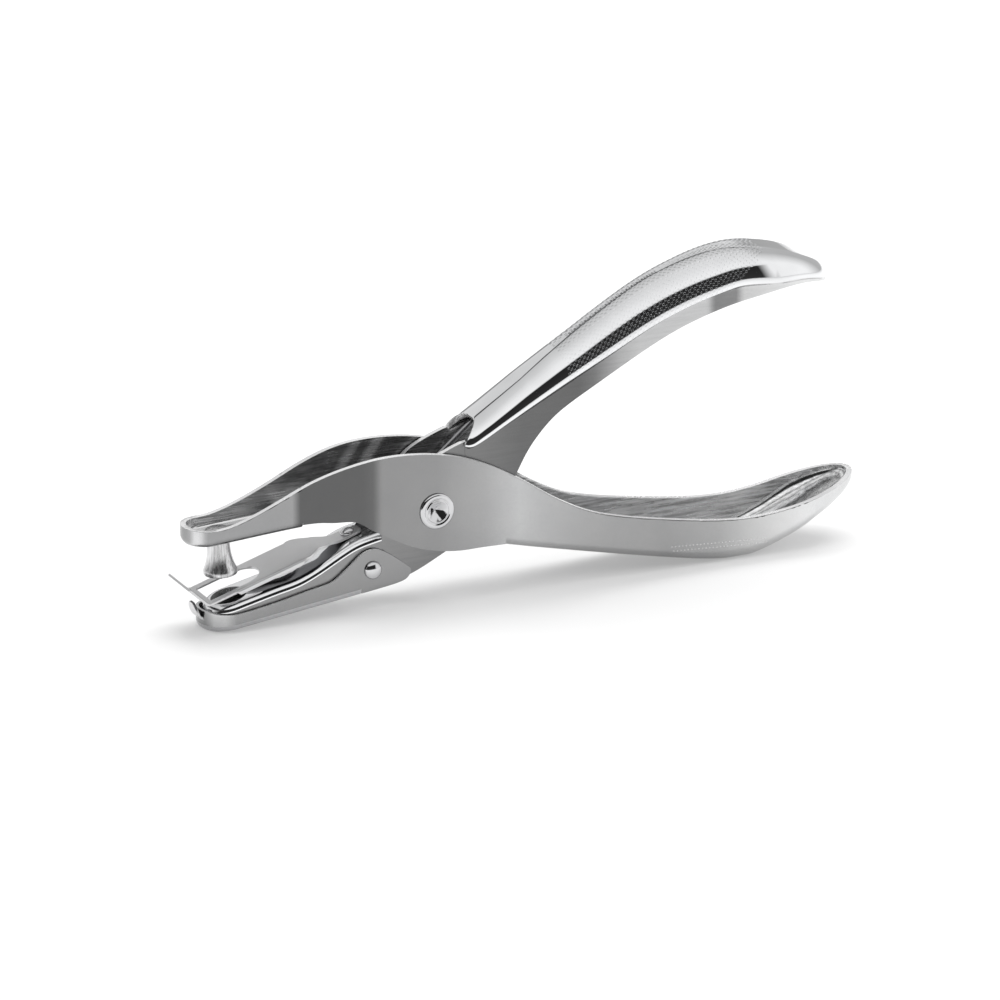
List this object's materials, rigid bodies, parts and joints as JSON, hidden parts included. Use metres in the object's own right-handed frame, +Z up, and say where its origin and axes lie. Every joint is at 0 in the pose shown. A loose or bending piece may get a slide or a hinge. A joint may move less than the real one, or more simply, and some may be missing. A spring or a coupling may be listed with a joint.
{
  "type": "hand hole punch",
  "caption": "Hand-held plier punch in chromed pressed steel, with crossed channel levers, a round punch pin, a slotted stripper plate and a hinged chad tray.",
  "frame": {"origin": "centre of the bounding box's bottom face, on the surface the punch lies on", "axes": "+X from the jaws to the handles, +Y across the part, +Z up, with the upper handle on top"},
  "size_m": [0.1299, 0.0146, 0.0568],
  "materials": {
    "lever_chrome": "bright plating over pressed sheet, drawn marks inside the channels",
    "grip_chrome": "bright plating, pressed dimples along the crown of the grip",
    "tray_chrome": "bright plating on thin folded sheet",
    "rivet_steel": "plated, with turning and setting marks",
    "punch_steel": "turned and hardened, dull bright",
    "stripper_steel": "satin plated thin sheet",
    "spring_steel": "drawn spring wire"
  },
  "bodies": {
    "outer_body": {"outer_lever": "lever_chrome", "pivot_rivet": "rivet_steel", "punch_pin": "punch_steel", "torsion_spring": "spring_steel"},
    "inner_body": {"inner_lever": "grip_chrome", "stripper_plate": "stripper_steel", "stripper_rivet": "rivet_steel", "tray_rivets": "rivet_steel"},
    "tray_body": {"chad_tray": "tray_chrome"}
  },
  "joints": [
    {"name": "lever_squeeze", "type": "hinge", "parent": "outer_body", "child": "inner_body", "pos_m": [-0.01821, 0, 0.01735], "axis": [0, 1, 0], "range_deg": [0, 9.2], "stiffness_Nm_per_rad": 1.5, "springref_deg": -20.05, "deforming": ["torsion_spring"]},
    {"name": "tray_hinge", "type": "hinge", "parent": "inner_body", "child": "tray_body", "pos_m": [-0.03021, 0, 0.00795], "axis": [0, -1, 0], "range_deg": [0, 30]}
  ]
}
